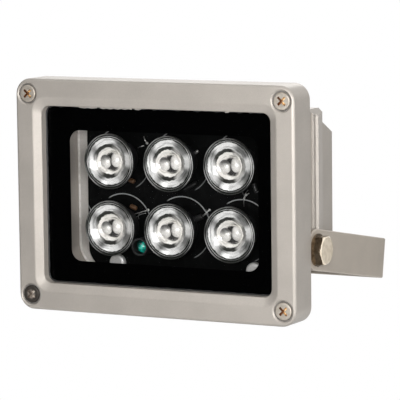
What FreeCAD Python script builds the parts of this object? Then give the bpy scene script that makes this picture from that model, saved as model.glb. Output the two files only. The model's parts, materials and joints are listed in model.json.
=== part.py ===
"""Infrared illuminator with six lamps behind a glass front, carried by a U-shaped bracket.

Everything on the tilting head is drawn in the head's own frame: X to the right, Y from the front
face of the bezel into the head, Z up. The frame of the whole part has its origin at the middle of
the bracket's wall face, so the head stands in front of it and a little above it.
"""

import FreeCAD, Part
import math
import os
import Sketcher

os.makedirs("parts", exist_ok=True)

# Driving sizes in millimetres, angles in degrees.
SIZES = {
    # bezel, measured from its front face
    "bezel_width": 115.0,
    "bezel_height": 86.5,
    "bezel_depth": 13.0,
    "bezel_corner": 6.0,
    "bezel_edge": 1.2,
    "land_side": 7.2,
    "land_top": 6.75,
    "slope_side": 3.0,
    "slope_top": 3.4,
    "slope_drop": 1.5,
    "mouth_corner": 5.9,
    "throat_corner": 3.3,
    "slope_rounding": 1.6,
    "throat_rounding": 0.5,
    "lip_back": 4.6,
    "skirt_wall": 1.7,
    "seat_depth": 9.6,
    # screws that hold the bezel
    "screw_inset_side": 5.1,
    "screw_inset_top": 5.65,
    "screw_head": 6.5,
    "screw_head_height": 2.2,
    "screw_rim": 0.5,
    "screw_thread": 3.5,
    "screw_sink": 2.4,
    "screw_reach": 9.8,
    "counterbore": 7.5,
    "counterbore_rim": 0.5,
    "cross_reach": 2.0,
    "cross_width": 0.9,
    "cross_depth": 1.5,
    "thread_gap": 0.1,
    "hole_gap": 0.25,
    # glass and seals
    "glass_thick": 3.0,
    "glass_lap": 2.2,
    "glass_corner": 3.0,
    "seal_thick": 0.4,
    "seal_lip": 0.25,
    "fit_gap": 0.3,
    "print_thick": 0.15,
    "print_side": 10.4,
    "print_top": 10.8,
    "window_drop": 0.7,
    "window_corner": 4.3,
    # housing
    "flange_thick": 3.0,
    "flange_gap": 0.25,
    "case_wall_side": 4.4,
    "case_wall_top": 1.4,
    "case_back": 39.2,
    "case_taper": 1.2,
    "bead_start": 30.76,
    "bead_step": 0.8,
    "bead_land": 1.5,
    "bead_slope": 0.3,
    "crest_step": 0.8,
    "crest_slope": 0.65,
    "top_cut": 1.9,
    "bottom_cut": 9.0,
    "chamber_side": 4.3,
    "chamber_top": 4.6,
    "chamber_corner": 10.0,
    "chamber_lead": 0.5,
    "floor_depth": 24.5,
    "ledge_side": 6.7,
    "ledge_top": 9.2,
    "ledge_corner": 2.5,
    "back_wall": 3.0,
    "fin_count": 11,
    "fin_thick": 2.0,
    "fin_reach": 8.2,
    "fin_inset": 0.6,
    "fin_root_cut": 5.2,
    "fin_tip_cut": 4.3,
    # hinge of the head on the bracket
    "pivot_depth": 21.25,
    "pivot_rise": 14.23,
    "ear_size": 15.2,
    "ear_reach": 4.8,
    "joint_gap": 0.1,
    "bolt_thread": 6.0,
    "bolt_flats": 10.0,
    "bolt_head": 3.5,
    "bolt_reach": 9.2,
    "bolt_crown": 9.6,
    "bolt_chamfer": 1.2,
    "washer_size": 12.0,
    "washer_thick": 0.5,
    # bracket
    "strip_width": 15.2,
    "strip_thick": 1.5,
    "strip_edge": 0.55,
    "bend_radius": 3.0,
    "arm_length": 62.7,
    "rest_tilt": 10.19,
    "pivot_hole": 6.6,
    "stud_hole": 8.2,
    "wall_hole": 5.0,
    "wall_pitch": 40.0,
    # mounting plate and lamp board
    "plate_thick": 2.0,
    "board_side": 4.9,
    "board_top": 0.4,
    "board_thick": 1.5,
    "board_corner": 9.0,
    "board_shift": 1.25,
    "board_screw_side": 11.55,
    "board_screw_top": 3.1,
    "board_screw_head": 6.4,
    "board_screw_height": 1.9,
    "board_screw_thread": 3.0,
    "board_screw_reach": 8.0,
    # lamps
    "lamp_pitch": 25.0,
    "lamp_drop": 0.4,
    "cup_front": 12.0,
    "cup_width": 20.7,
    "cup_lip": 0.4,
    "cup_lip_drop": 0.85,
    "cup_lip_reach": 1.4,
    "cup_groove": 0.45,
    "cup_band_drop": 0.6,
    "cup_band_bow": 0.12,
    "cup_step_width": 12.4,
    "cup_step_drop": 1.9,
    "cup_step_land": 0.5,
    "cup_bowl_bow": 0.35,
    "cup_throat": 7.5,
    "cup_floor": 4.0,
    "cup_seat": 4.7,
    "cup_foot": 16.6,
    "holder_foot": 13.0,
    "emitter_width": 6.9,
    "dome_height": 2.0,
    # light sensor
    "sensor_left": 12.5,
    "sensor_drop": 19.3,
    "sleeve_width": 6.6,
    "sleeve_wall": 0.6,
    "sleeve_front": 12.2,
    "sensor_front": 12.8,
    "sensor_width": 5.0,
    # driver board
    "driver_side": 8.5,
    "driver_top": 4.5,
    "driver_thick": 1.6,
    "driver_lift": 3.6,
    "driver_screw_inset": 3.0,
    "driver_screw_head": 4.4,
    "driver_screw_height": 1.5,
    "driver_screw_thread": 2.5,
    "driver_screw_reach": 4.6,
    "post_width": 5.0,
    "coil_width": 9.0,
    "coil_height": 3.4,
    "capacitor_width": 6.3,
    "capacitor_height": 3.8,
    "chip_width": 6.0,
    "chip_height": 1.6,
    "plug_width": 9.0,
    "plug_height": 3.2,
    # cable gland
    "gland_boss": 20.0,
    "gland_boss_reach": 5.0,
    "gland_room": 27.0,
    "gland_thread": 12.0,
    "gland_thread_length": 7.0,
    "gland_flats": 16.0,
    "gland_hex_length": 4.5,
    "gland_neck": 13.0,
    "gland_neck_length": 3.5,
    "gland_bore": 7.0,
    "nut_width": 17.0,
    "nut_length": 10.0,
    "nut_dome": 3.0,
    "nut_mouth": 7.0,
    "nut_shoulder": 1.0,
    "gland_seal_length": 4.8,
    "gland_seal_bore": 5.0,
}

doc = FreeCAD.newDocument("infrared_illuminator")
sheet = doc.addObject("Spreadsheet::Sheet", "Dims")
for row, (alias, number) in enumerate(SIZES.items(), start=1):
    sheet.set(f"A{row}", alias)
    sheet.set(f"B{row}", str(number))
    sheet.setAlias(f"B{row}", alias)
doc.recompute()


class Size:
    """A length that carries its number and the sheet expression that drives it."""

    def __init__(self, number, text=None):
        self.number = float(number)
        self.text = text if text is not None else repr(float(number))

    def combine(self, other, sign, number):
        other = as_size(other)
        return Size(number(self.number, other.number), f"({self.text} {sign} {other.text})")

    def __add__(self, other):
        return self.combine(other, "+", lambda a, b: a + b)

    def __sub__(self, other):
        return self.combine(other, "-", lambda a, b: a - b)

    def __mul__(self, other):
        return self.combine(other, "*", lambda a, b: a * b)

    def __truediv__(self, other):
        return self.combine(other, "/", lambda a, b: a / b)

    def __radd__(self, other):
        return as_size(other) + self

    def __rsub__(self, other):
        return as_size(other) - self

    def __rmul__(self, other):
        return as_size(other) * self

    def __neg__(self):
        return Size(0) - self


def as_size(value):
    return value if isinstance(value, Size) else Size(value)


def cosine(angle):
    return Size(math.cos(math.radians(angle.number)), f"cos({angle.text})")


def sine(angle):
    return Size(math.sin(math.radians(angle.number)), f"sin({angle.text})")


class Sheet:
    """The sheet's cells by name, each as a Size."""

    def __getattr__(self, alias):
        return Size(sheet.get(alias), f"Dims.{alias}")


d = Sheet()

# Places that several pieces share.
ZERO = Size(0)
THROAT_WIDTH = d.bezel_width - 2 * (d.land_side + d.slope_side)
THROAT_HEIGHT = d.bezel_height - 2 * (d.land_top + d.slope_top)
GLASS_WIDTH = THROAT_WIDTH + 2 * d.glass_lap
GLASS_HEIGHT = THROAT_HEIGHT + 2 * d.glass_lap
GLASS_BACK = d.lip_back + d.seal_thick + d.glass_thick
PRINT_BACK = GLASS_BACK + d.print_thick
WINDOW_WIDTH = GLASS_WIDTH - 2 * d.print_side
WINDOW_HEIGHT = GLASS_HEIGHT - 2 * d.print_top
CHAMBER_WIDTH = GLASS_WIDTH - 2 * d.chamber_side
CHAMBER_HEIGHT = GLASS_HEIGHT - 2 * d.chamber_top
CASE_WIDTH = CHAMBER_WIDTH + 2 * d.case_wall_side
CASE_HEIGHT = CHAMBER_HEIGHT + 2 * d.case_wall_top
REAR_WIDTH = CHAMBER_WIDTH - 2 * d.ledge_side
REAR_HEIGHT = CHAMBER_HEIGHT - 2 * d.ledge_top
FIN_SPREAD = CASE_WIDTH - 2 * d.fin_inset
FLANGE_BACK = d.seat_depth + d.flange_thick
SCREW_X = d.bezel_width / 2 - d.screw_inset_side
SCREW_Z = d.bezel_height / 2 - d.screw_inset_top
BOARD_FRONT = d.floor_depth - d.board_thick
BOARD_WIDTH = CHAMBER_WIDTH - 2 * d.board_side
BOARD_HEIGHT = CHAMBER_HEIGHT - 2 * d.board_top
BOARD_SCREWS = (BOARD_WIDTH / 2 - d.board_screw_side, BOARD_HEIGHT / 2 - d.board_screw_top, d.board_shift)
PLATE_BACK = d.floor_depth + d.plate_thick
REAR_FLOOR = d.case_back - d.back_wall
DRIVER_BACK = REAR_FLOOR - d.driver_lift
DRIVER_FRONT = DRIVER_BACK - d.driver_thick
DRIVER_WIDTH = REAR_WIDTH - 2 * d.driver_side
DRIVER_HEIGHT = REAR_HEIGHT - 2 * d.driver_top
DRIVER_SCREWS = (DRIVER_WIDTH / 2 - d.driver_screw_inset, DRIVER_HEIGHT / 2 - d.driver_screw_inset, ZERO)
PIVOT_DROP = CASE_HEIGHT / 2 - d.pivot_rise
EAR_FACE = CASE_WIDTH / 2 + d.ear_reach
LEG_OUTER = EAR_FACE + d.joint_gap + d.strip_thick
WASHER_FACE = LEG_OUTER + d.joint_gap
BOLT_SEAT = WASHER_FACE + d.washer_thick
BOSS_FACE = d.case_back + d.gland_boss_reach
HEX_FACE = BOSS_FACE + d.gland_hex_length
HEAD_Y = -(d.pivot_depth + d.arm_length * cosine(d.rest_tilt))
HEAD_Z = PIVOT_DROP + d.arm_length * sine(d.rest_tilt)
CORNERS = [(-1, -1), (1, -1), (1, 1), (-1, 1)]

nodes = []


def bind(thing, name, size):
    """Sets a property from a Size: its number now, its expression for good."""
    thing.setExpression(name, as_size(size).text)


def head_body(label, x=ZERO, z=ZERO, y=ZERO):
    """A body that rides on the head, drawn from the front face of the bezel."""
    body = doc.addObject("PartDesign::Body", label)
    body.Label = label
    body.AllowCompound = True
    bind(body, ".Placement.Base.x", x)
    bind(body, ".Placement.Base.y", HEAD_Y + y)
    bind(body, ".Placement.Base.z", HEAD_Z + z)
    nodes.append(body)
    return body


def sketch_on(body, role, offset=ZERO):
    """A sketch parallel to one of the body's own planes, moved along that plane's normal."""
    sketch = body.newObject("Sketcher::SketchObject", f"{body.Label}_sketch")
    plane = [item for item in body.Origin.OriginFeatures if item.Role == role][0]
    sketch.AttachmentSupport = [(plane, "")]
    sketch.MapMode = "FlatFace"
    bind(sketch, ".AttachmentOffset.Base.z", offset)
    return sketch


def front_sketch(body, depth):
    """A sketch seen from the front, X across and Z up, at a depth behind the bezel's face."""
    return sketch_on(body, "XZ_Plane", -depth)


def side_sketch(body, x=ZERO):
    """A sketch seen from the right, Y across and Z up."""
    return sketch_on(body, "YZ_Plane", x)


def plan_sketch(body):
    """A sketch seen from above, X across and Y up the page."""
    return sketch_on(body, "XY_Plane")


def drive(sketch, kind, places, size):
    """Adds a dimension to a sketch and ties it to the sheet."""
    number = sketch.addConstraint(Sketcher.Constraint(kind, *places, size.number))
    sketch.setExpression(f"Constraints[{number}]", size.text)


def fix_point(sketch, shape, end, across, up):
    """Dimensions one point of a shape from the sketch's origin."""
    for kind, axis, size in (("DistanceX", -2, across), ("DistanceY", -1, up)):
        if abs(size.number) < 1e-9:
            sketch.addConstraint(Sketcher.Constraint("PointOnObject", shape, end, axis))
        else:
            drive(sketch, kind, (-1, 1, shape, end), size)


def outline(sketch, corners, bulges=None):
    """A closed outline. An edge named in bulges is an arc through the point given there."""
    bulges = bulges or {}
    corners = [(as_size(across), as_size(up)) for across, up in corners]
    spots = [FreeCAD.Vector(across.number, up.number, 0) for across, up in corners]
    first = sketch.GeometryCount
    for edge, start in enumerate(spots):
        finish = spots[(edge + 1) % len(spots)]
        if edge in bulges:
            crown = FreeCAD.Vector(bulges[edge][0].number, bulges[edge][1].number, 0)
            anticlockwise = (crown - start).cross(finish - crown).z > 0
            ends = (start, finish) if anticlockwise else (finish, start)
            sketch.addGeometry(Part.Arc(ends[0], crown, ends[1]), False)
        else:
            sketch.addGeometry(Part.LineSegment(start, finish), False)
    ends = [arc_ends(sketch.Geometry[first + edge], spots[edge]) for edge in range(len(spots))]
    for edge in range(len(spots)):
        after = (edge + 1) % len(spots)
        joint = (first + edge, ends[edge][1], first + after, ends[after][0])
        sketch.addConstraint(Sketcher.Constraint("Coincident", *joint))
        fix_point(sketch, first + edge, ends[edge][0], *corners[edge])
    for edge, (across, up) in bulges.items():
        point = sketch.addGeometry(Part.Point(FreeCAD.Vector(across.number, up.number, 0)), True)
        fix_point(sketch, point, 1, across, up)
        sketch.addConstraint(Sketcher.Constraint("PointOnObject", point, 1, first + edge))


def arc_ends(shape, start):
    """Which end of a shape lies at the start point: an arc is stored anticlockwise."""
    return (1, 2) if shape.StartPoint.distanceToPoint(start) < 1e-6 else (2, 1)


def rectangle(sketch, width, height, across=ZERO, up=ZERO):
    corners = [(across + i * width / 2, up + j * height / 2) for i, j in CORNERS]
    outline(sketch, corners)


def rounded_rectangle(sketch, width, height, corner, up=ZERO):
    """Four lines joined by four equal arcs, dimensioned from the sketch's origin."""
    left, right = -(width / 2), width / 2
    bottom, top = up - height / 2, up + height / 2
    arcs = []
    for quarter, (i, j) in enumerate(CORNERS):
        across = i * (width / 2 - corner)
        level = up + j * (height / 2 - corner)
        centre = FreeCAD.Vector(across.number, level.number, 0)
        start = math.pi + quarter * math.pi / 2
        shape = Part.Circle(centre, FreeCAD.Vector(0, 0, 1), corner.number)
        arcs.append(sketch.addGeometry(Part.ArcOfCircle(shape, start, start + math.pi / 2), False))
    lines = []
    for side, arc in enumerate(arcs):
        start = sketch.Geometry[arc].EndPoint
        finish = sketch.Geometry[arcs[(side + 1) % 4]].StartPoint
        lines.append(sketch.addGeometry(Part.LineSegment(start, finish), False))
    for side, line in enumerate(lines):
        after = arcs[(side + 1) % 4]
        sketch.addConstraint(Sketcher.Constraint("Tangent", arcs[side], 2, line, 1))
        sketch.addConstraint(Sketcher.Constraint("Tangent", line, 2, after, 1))
        sketch.addConstraint(Sketcher.Constraint("Horizontal" if side % 2 == 0 else "Vertical", line))
    drive(sketch, "Radius", (arcs[0],), corner)
    for arc in arcs[1:]:
        sketch.addConstraint(Sketcher.Constraint("Equal", arcs[0], arc))
    drive(sketch, "DistanceY", (-1, 1, lines[0], 1), bottom)
    drive(sketch, "DistanceX", (-1, 1, lines[1], 1), right)
    drive(sketch, "DistanceY", (-1, 1, lines[2], 1), top)
    drive(sketch, "DistanceX", (-1, 1, lines[3], 1), left)


def circle(sketch, width, across=ZERO, up=ZERO):
    across, up = as_size(across), as_size(up)
    centre = FreeCAD.Vector(across.number, up.number, 0)
    shape = sketch.addGeometry(Part.Circle(centre, FreeCAD.Vector(0, 0, 1), width.number / 2), False)
    drive(sketch, "Radius", (shape,), width / 2)
    fix_point(sketch, shape, 3, across, up)


def hexagon(sketch, flats, across=ZERO, up=ZERO):
    """A hexagon with two corners on the horizontal line through its middle."""
    reach = flats * (1 / math.sqrt(3))
    corners = [(across + reach * i, up + flats * j / 2) for i, j in
               ((1, 0), (0.5, 1), (-0.5, 1), (-1, 0), (-0.5, -1), (0.5, -1))]
    outline(sketch, corners)


def cross(sketch, reach, width, across, up):
    """A screw's cross recess, its arms on the diagonals."""
    arm, side, inner = reach / math.sqrt(2), width / 2 / math.sqrt(2), width / math.sqrt(2)
    corners = []
    for i, j in CORNERS:
        hollow = (inner * (i + j) / 2, inner * (j - i) / 2)
        corners.append((across + hollow[0], up + hollow[1]))
        corners.append((across + arm * i + side * j, up + arm * j - side * i))
        corners.append((across + arm * i - side * j, up + arm * j + side * i))
    outline(sketch, corners)


def pad(body, sketch, length, **settings):
    feature = body.newObject("PartDesign::Pad", f"{body.Label}_pad")
    feature.Profile = sketch
    bind(feature, "Length", length)
    for name, value in settings.items():
        setattr(feature, name, value)
    sketch.Visibility = False
    return feature


def pocket(body, sketch, length, **settings):
    feature = body.newObject("PartDesign::Pocket", f"{body.Label}_pocket")
    feature.Profile = sketch
    bind(feature, "Length", length)
    for name, value in settings.items():
        setattr(feature, name, value)
    sketch.Visibility = False
    return feature


def slab(body, front, back, draw):
    """Material between two depths, with the outline that draw puts in its sketch."""
    sketch = front_sketch(body, as_size(back))
    draw(sketch)
    return pad(body, sketch, as_size(back) - front)


def recess(body, front, back, draw):
    """A hole cut from one depth to a deeper one."""
    sketch = front_sketch(body, as_size(front))
    draw(sketch)
    return pocket(body, sketch, as_size(back) - front)


def turned(body, corners, bulges=None, kind="Revolution", axis="V_Axis"):
    """Material, or for a Groove a cut, turned about the body's own axis into the head or across it."""
    sketch = plan_sketch(body)
    outline(sketch, corners, bulges)
    feature = body.newObject(f"PartDesign::{kind}", f"{body.Label}_turned")
    feature.Profile = sketch
    feature.ReferenceAxis = (sketch, [axis])
    feature.Angle = 360.0
    return feature


def edges_where(feature, test):
    doc.recompute()
    return [f"Edge{number}" for number, edge in enumerate(feature.Shape.Edges, start=1) if test(edge)]


def round_edges(body, feature, size, test):
    """Rounds the edges of the body's last feature that pass the test."""
    fillet = body.newObject("PartDesign::Fillet", f"{body.Label}_rounding")
    fillet.Base = (feature, edges_where(feature, test))
    bind(fillet, "Radius", size)
    return fillet


def lies_at(edge, axis, place):
    """True for an edge that lies whole in one plane square to an axis."""
    box = edge.BoundBox
    low, high = getattr(box, f"{axis}Min"), getattr(box, f"{axis}Max")
    return abs(low - place.number) < 1e-4 and abs(high - place.number) < 1e-4


def at_four(draw, x, z, shift=ZERO):
    """Draws the same thing at four mirrored places."""
    for i, j in CORNERS:
        draw(shift + i * x, j * z)


def front_bezel():
    body = head_body("front_bezel")
    blank = slab(body, ZERO, d.bezel_depth,
                 lambda sketch: rounded_rectangle(sketch, d.bezel_width, d.bezel_height, d.bezel_corner))
    round_edges(body, blank, d.bezel_edge, lambda edge: lies_at(edge, "Y", ZERO))
    recess(body, ZERO, d.bezel_depth,
           lambda sketch: rounded_rectangle(sketch, THROAT_WIDTH, THROAT_HEIGHT, d.throat_corner))
    mouth = front_sketch(body, ZERO)
    rounded_rectangle(mouth, d.bezel_width - 2 * d.land_side, d.bezel_height - 2 * d.land_top, d.mouth_corner)
    throat = front_sketch(body, d.slope_drop)
    rounded_rectangle(throat, THROAT_WIDTH, THROAT_HEIGHT, d.throat_corner)
    slope = body.newObject("PartDesign::SubtractiveLoft", "bezel_slope")
    slope.Profile = mouth
    slope.Sections = [throat]
    slope.Ruled = True
    recess(body, d.lip_back, d.bezel_depth,
           lambda sketch: rounded_rectangle(sketch, GLASS_WIDTH + 2 * d.fit_gap, GLASS_HEIGHT + 2 * d.fit_gap,
                                            d.glass_corner))
    recess(body, d.seat_depth, d.bezel_depth,
           lambda sketch: rounded_rectangle(sketch, d.bezel_width - 2 * d.skirt_wall,
                                            d.bezel_height - 2 * d.skirt_wall, d.bezel_corner - d.skirt_wall))
    recess(body, ZERO, d.screw_sink,
           lambda sketch: at_four(lambda x, z: circle(sketch, d.counterbore, x, z), SCREW_X, SCREW_Z))
    mouths = front_sketch(body, ZERO)
    at_four(lambda x, z: circle(mouths, d.counterbore + 2 * d.counterbore_rim, x, z), SCREW_X, SCREW_Z)
    pocket(body, mouths, d.counterbore_rim, TaperAngle=-45.0)
    bore = d.screw_thread + 2 * d.hole_gap
    drilled = recess(body, ZERO, d.bezel_depth,
                     lambda sketch: at_four(lambda x, z: circle(sketch, bore, x, z), SCREW_X, SCREW_Z))
    side = (d.bezel_width / 2 - d.land_side).number
    level = (d.bezel_height / 2 - d.land_top).number

    def round_mouth(edge):
        box = edge.BoundBox
        reach = max(abs(box.XMin), abs(box.XMax)) - side, max(abs(box.ZMin), abs(box.ZMax)) - level
        return lies_at(edge, "Y", ZERO) and max(reach) < 1e-4

    softened = round_edges(body, drilled, d.slope_rounding, round_mouth)
    round_edges(body, softened, d.throat_rounding, lambda edge: lies_at(edge, "Y", d.slope_drop))


def screws(label, seat, head, rim, thread, places):
    """Four pan-head screws: head and thread are width and length, rim is the rounding of the head."""
    body = head_body(label)
    top = seat - head[1]
    heads = slab(body, top, seat, lambda sketch: at_four(lambda x, z: circle(sketch, head[0], x, z), *places))
    round_edges(body, heads, rim, lambda edge: lies_at(edge, "Y", top))
    slab(body, seat, seat + thread[1],
         lambda sketch: at_four(lambda x, z: circle(sketch, thread[0], x, z), *places))
    return body, top


def bezel_screws():
    body, top = screws("bezel_screws", d.screw_sink, (d.screw_head, d.screw_head_height), d.screw_rim,
                       (d.screw_thread, d.screw_reach), (SCREW_X, SCREW_Z))

    def crosses(sketch):
        at_four(lambda x, z: cross(sketch, d.cross_reach, d.cross_width, x, z), SCREW_X, SCREW_Z)

    recess(body, top, top + d.cross_depth, crosses)


def front_glass():
    body = head_body("front_glass")
    slab(body, d.lip_back + d.seal_thick, GLASS_BACK,
         lambda sketch: rounded_rectangle(sketch, GLASS_WIDTH, GLASS_HEIGHT, d.glass_corner))


def ring(label, front, back, outer, inner, inner_up=ZERO):
    """A flat frame: outer and inner are width, height and corner radius."""
    body = head_body(label)
    sketch = front_sketch(body, back)
    rounded_rectangle(sketch, *outer)
    rounded_rectangle(sketch, *inner, inner_up)
    pad(body, sketch, back - front)


def glass_seals():
    outer = (GLASS_WIDTH, GLASS_HEIGHT, d.glass_corner)
    lip = 2 * d.seal_lip
    ring("glass_gasket", d.lip_back, d.lip_back + d.seal_thick, outer,
         (THROAT_WIDTH - lip, THROAT_HEIGHT - lip, d.throat_corner))
    ring("glass_border", GLASS_BACK, PRINT_BACK, outer,
         (WINDOW_WIDTH, WINDOW_HEIGHT, d.window_corner), -d.window_drop)
    lead = 2 * d.chamber_lead
    ring("housing_gasket", PRINT_BACK, d.seat_depth, outer,
         (CHAMBER_WIDTH + lead, CHAMBER_HEIGHT + lead, d.chamber_corner))


def side_outline(sketch):
    """The case seen from above: straight sides, two raised beads near the back, then a taper."""
    half = CASE_WIDTH / 2
    bead = d.bead_start + d.bead_slope
    land = bead + d.bead_land
    crest = land + d.crest_slope
    points = [
        (half, d.seat_depth + d.flange_thick / 2),
        (half, d.bead_start),
        (half + d.bead_step, bead),
        (half + d.bead_step, land),
        (half + d.bead_step + d.crest_step, crest),
        (half + d.bead_step + d.crest_step - d.case_taper, d.case_back),
    ]
    outline(sketch, points + [(-x, y) for x, y in reversed(points)])


def housing():
    body = head_body("housing")
    flange_cut = 2 * (d.skirt_wall + d.flange_gap)
    slab(body, d.seat_depth, FLANGE_BACK,
         lambda sketch: rounded_rectangle(sketch, d.bezel_width - flange_cut, d.bezel_height - flange_cut,
                                          d.bezel_corner - d.skirt_wall - d.flange_gap))
    case = plan_sketch(body)
    side_outline(case)
    pad(body, case, CASE_HEIGHT, Midplane=True)
    edge, tall = CASE_WIDTH / 2 + d.bead_step, CASE_HEIGHT / 2
    beyond = 2 * d.crest_step

    def cut_corners(sketch):
        for i in (-1, 1):
            for j, cut in ((1, d.top_cut), (-1, d.bottom_cut)):
                low = tall - cut - beyond
                outline(sketch, [(i * (edge - cut), j * tall), (i * (edge + beyond), j * low),
                                 (i * (edge + beyond), j * tall)])

    recess(body, FLANGE_BACK, d.case_back, cut_corners)
    fins(body)
    ears(body)
    gland_boss(body)
    recess(body, d.seat_depth, PLATE_BACK,
           lambda sketch: rounded_rectangle(sketch, CHAMBER_WIDTH, CHAMBER_HEIGHT, d.chamber_corner))
    recess(body, PLATE_BACK, REAR_FLOOR,
           lambda sketch: rounded_rectangle(sketch, REAR_WIDTH, REAR_HEIGHT, d.ledge_corner))
    slab(body, DRIVER_BACK, REAR_FLOOR + d.back_wall / 2,
         lambda sketch: at_four(lambda x, z: circle(sketch, d.post_width, x, z), *DRIVER_SCREWS))
    tapped = d.driver_screw_thread + 2 * d.thread_gap
    recess(body, DRIVER_BACK, DRIVER_FRONT + d.driver_screw_reach + d.hole_gap,
           lambda sketch: at_four(lambda x, z: circle(sketch, tapped, x, z), *DRIVER_SCREWS))
    recess(body, REAR_FLOOR, BOSS_FACE,
           lambda sketch: circle(sketch, d.gland_thread + 2 * d.thread_gap))
    recess(body, d.seat_depth, FLANGE_BACK,
           lambda sketch: at_four(lambda x, z: circle(sketch, d.screw_thread + 2 * d.thread_gap, x, z),
                                  SCREW_X, SCREW_Z))
    screw_hole = d.board_screw_thread + 2 * d.thread_gap
    recess(body, PLATE_BACK, BOARD_FRONT + d.board_screw_reach + d.hole_gap,
           lambda sketch: at_four(lambda x, z: circle(sketch, screw_hole, x, z), *BOARD_SCREWS))
    for side in (-1, 1):
        sketch = side_sketch(body, side * EAR_FACE)
        circle(sketch, d.bolt_thread + 2 * d.thread_gap, d.pivot_depth, -PIVOT_DROP)
        depth = BOLT_SEAT - d.bolt_reach
        pocket(body, sketch, EAR_FACE - depth + d.thread_gap, Reversed=side < 0)


def fins(body):
    """Upright cooling fins across the back, lower towards their free edge."""
    sketch = side_sketch(body, FIN_SPREAD / 2)
    root, tip = d.case_back - d.back_wall / 2, d.case_back + d.fin_reach
    high = CASE_HEIGHT / 2 - d.fin_root_cut
    low = high - d.fin_tip_cut
    outline(sketch, [(root, -high), (d.case_back, -high), (tip, -low), (tip, low),
                     (d.case_back, high), (root, high)])
    fin = pad(body, sketch, d.fin_thick, Midplane=True)
    pattern = body.newObject("PartDesign::LinearPattern", "housing_fins")
    pattern.Originals = [fin]
    axis = [item for item in body.Origin.OriginFeatures if item.Role == "X_Axis"][0]
    pattern.Direction = (axis, [""])
    pattern.Reversed = True
    bind(pattern, "Length", FIN_SPREAD)
    bind(pattern, "Occurrences", d.fin_count)
    body.Tip = pattern


def ears(body):
    """Round pads on both sides that the bracket's legs are bolted to."""
    for side in (-1, 1):
        sketch = side_sketch(body, side * EAR_FACE)
        circle(sketch, d.ear_size, d.pivot_depth, -PIVOT_DROP)
        pad(body, sketch, d.ear_reach + d.case_wall_side / 2, Reversed=side > 0)


def gland_boss(body):
    """A clear round place among the fins, with a boss for the cable gland in its middle."""
    recess(body, d.case_back, d.case_back + d.fin_reach, lambda sketch: circle(sketch, d.gland_room))
    slab(body, d.case_back - d.back_wall / 2, BOSS_FACE, lambda sketch: circle(sketch, d.gland_boss))


def board_like(label, front, back, draw, hole, places):
    """A flat board or plate with four holes for its screws."""
    body = head_body(label)
    slab(body, front, back, draw)
    recess(body, front, back, lambda sketch: at_four(lambda x, z: circle(sketch, hole, x, z), *places))


def lamp_board():
    hole = d.board_screw_thread + 2 * d.hole_gap
    fit = 2 * d.fit_gap
    board_like("mounting_plate", d.floor_depth, PLATE_BACK,
               lambda sketch: rounded_rectangle(sketch, CHAMBER_WIDTH - fit, CHAMBER_HEIGHT - fit,
                                                d.chamber_corner - d.fit_gap), hole, BOARD_SCREWS)
    board_like("lamp_board", BOARD_FRONT, d.floor_depth,
               lambda sketch: rounded_rectangle(sketch, BOARD_WIDTH, BOARD_HEIGHT, d.board_corner),
               hole, BOARD_SCREWS)
    screws("board_screws", BOARD_FRONT, (d.board_screw_head, d.board_screw_height), d.board_screw_height / 2,
           (d.board_screw_thread, d.board_screw_reach), BOARD_SCREWS)


def lamp(number, x, z):
    """One lamp: a plated cup on a dark holder, and in the cup's middle a clear dome on the emitter."""
    front, seat = d.cup_front, d.cup_front + d.cup_seat
    floor, ledge = front + d.cup_floor, front + d.cup_step_drop
    rim, throat, step = d.cup_width / 2, d.cup_throat / 2, d.cup_step_width / 2
    inner, lip = step - d.cup_step_land, rim - d.cup_lip
    band = lip - d.cup_groove
    bow, curve = d.cup_bowl_bow, d.cup_band_bow
    cup = head_body(f"lamp_reflector_{number}", x, z)
    turned(cup,
           [(throat, seat), (throat, floor), (inner, ledge), (step, ledge), (band, front + d.cup_band_drop),
            (band, front + d.cup_lip_drop), (lip, front + d.cup_lip_drop), (lip, front), (rim, front),
            (rim, front + d.cup_lip_reach), (d.cup_foot / 2, seat)],
           {1: ((throat + inner) / 2 + bow, (floor + ledge) / 2 + bow),
            3: ((step + band) / 2 + curve, (ledge + front + d.cup_band_drop) / 2 + curve)})
    holder = head_body(f"lamp_base_{number}", x, z)
    width = d.emitter_width / 2
    turned(holder, [(ZERO, BOARD_FRONT), (d.holder_foot / 2, BOARD_FRONT), (d.cup_foot / 2, seat),
                    (width, seat), (width, floor), (ZERO, floor)])
    dome = head_body(f"lamp_dome_{number}", x, z)
    curvature = (width * width + d.dome_height * d.dome_height) / (2 * d.dome_height)
    lean = math.asin(width.number / curvature.number) / 2
    crown = floor - d.dome_height
    turned(dome, [(ZERO, floor), (width, floor), (ZERO, crown)],
           {1: (curvature * math.sin(lean), crown + curvature * (1 - math.cos(lean)))})


def lamps():
    number = 0
    for row in (1, -1):
        for column in (-1, 0, 1):
            number += 1
            lamp(number, column * d.lamp_pitch, row * d.lamp_pitch / 2 - d.lamp_drop)


def light_sensor():
    place = (-d.sensor_left, -d.sensor_drop)
    sleeve = head_body("sensor_sleeve", *place)
    outer = d.sleeve_width / 2
    bore = outer - d.sleeve_wall
    turned(sleeve, [(bore, d.sleeve_front), (outer, d.sleeve_front),
                    (outer, BOARD_FRONT), (bore, BOARD_FRONT)])
    sensor = head_body("light_sensor", *place)
    radius = d.sensor_width / 2
    shoulder = d.sensor_front + radius
    turned(sensor, [(ZERO, BOARD_FRONT), (radius, BOARD_FRONT), (radius, shoulder), (ZERO, d.sensor_front)],
           {2: (radius / math.sqrt(2), shoulder - radius / math.sqrt(2))})


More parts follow.
